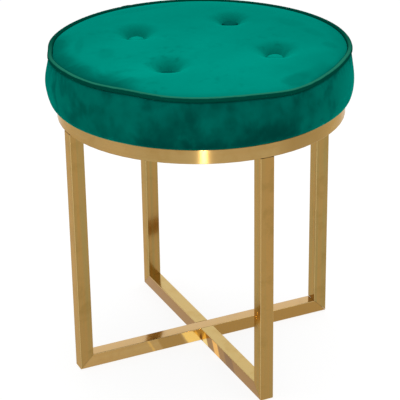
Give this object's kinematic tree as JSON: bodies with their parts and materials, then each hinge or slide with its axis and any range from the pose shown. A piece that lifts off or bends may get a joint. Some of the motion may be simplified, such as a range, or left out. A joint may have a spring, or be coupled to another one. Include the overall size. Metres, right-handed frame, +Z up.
{
  "type": "round upholstered stool",
  "caption": "Round tufted velvet stool on a square-tube frame: upright legs under a ring, joined by crossed floor rails.",
  "frame": {"origin": "on the floor under the middle of the seat", "axes": "+Z up; the long floor rail lies along X; the half rail and leg on the -Y side are the ones nearest the viewer in the picture"},
  "size_m": [0.4172, 0.4172, 0.4545],
  "materials": {
    "brushed_brass": "brushed, brass coloured plating on steel tube",
    "zinc_plate": "dull zinc plate",
    "velvet": "short pile velvet, teal green",
    "piping_velvet": "velvet stretched over a cord",
    "plywood": "raw plywood",
    "foam": "open-cell upholstery foam",
    "twine": "waxed tufting twine",
    "black_cloth": "non-woven dust cloth",
    "black_plastic": "moulded"
  },
  "bodies": {
    "root": {"top_ring": "brushed_brass", "floor_rail_long": "brushed_brass", "floor_rail_rear": "brushed_brass", "floor_rail_front": "brushed_brass", "leg_right": "brushed_brass", "floor_glide_right": "black_plastic", "leg_rear": "brushed_brass", "floor_glide_rear": "black_plastic", "leg_left": "brushed_brass", "floor_glide_left": "black_plastic", "leg_front": "brushed_brass", "floor_glide_front": "black_plastic", "seat_tab_1": "brushed_brass", "seat_screw_1": "zinc_plate", "screw_washer_1": "zinc_plate", "t_nut_1": "zinc_plate", "button_1": "velvet", "button_tie_1": "twine", "tie_washer_1": "zinc_plate", "seat_tab_2": "brushed_brass", "seat_screw_2": "zinc_plate", "screw_washer_2": "zinc_plate", "t_nut_2": "zinc_plate", "button_2": "velvet", "button_tie_2": "twine", "tie_washer_2": "zinc_plate", "seat_tab_3": "brushed_brass", "seat_screw_3": "zinc_plate", "screw_washer_3": "zinc_plate", "t_nut_3": "zinc_plate", "button_3": "velvet", "button_tie_3": "twine", "tie_washer_3": "zinc_plate", "seat_tab_4": "brushed_brass", "seat_screw_4": "zinc_plate", "screw_washer_4": "zinc_plate", "t_nut_4": "zinc_plate", "button_4": "velvet", "button_tie_4": "twine", "tie_washer_4": "zinc_plate", "seat_board": "plywood", "foam_core": "foam", "cover_side": "velvet", "cover_top": "velvet", "piping": "piping_velvet", "dust_cover": "black_cloth", "staple_1": "zinc_plate", "staple_2": "zinc_plate", "staple_3": "zinc_plate", "staple_4": "zinc_plate", "staple_5": "zinc_plate", "staple_6": "zinc_plate", "staple_7": "zinc_plate", "staple_8": "zinc_plate", "staple_9": "zinc_plate", "staple_10": "zinc_plate", "staple_11": "zinc_plate", "staple_12": "zinc_plate"}
  },
  "joints": []
}
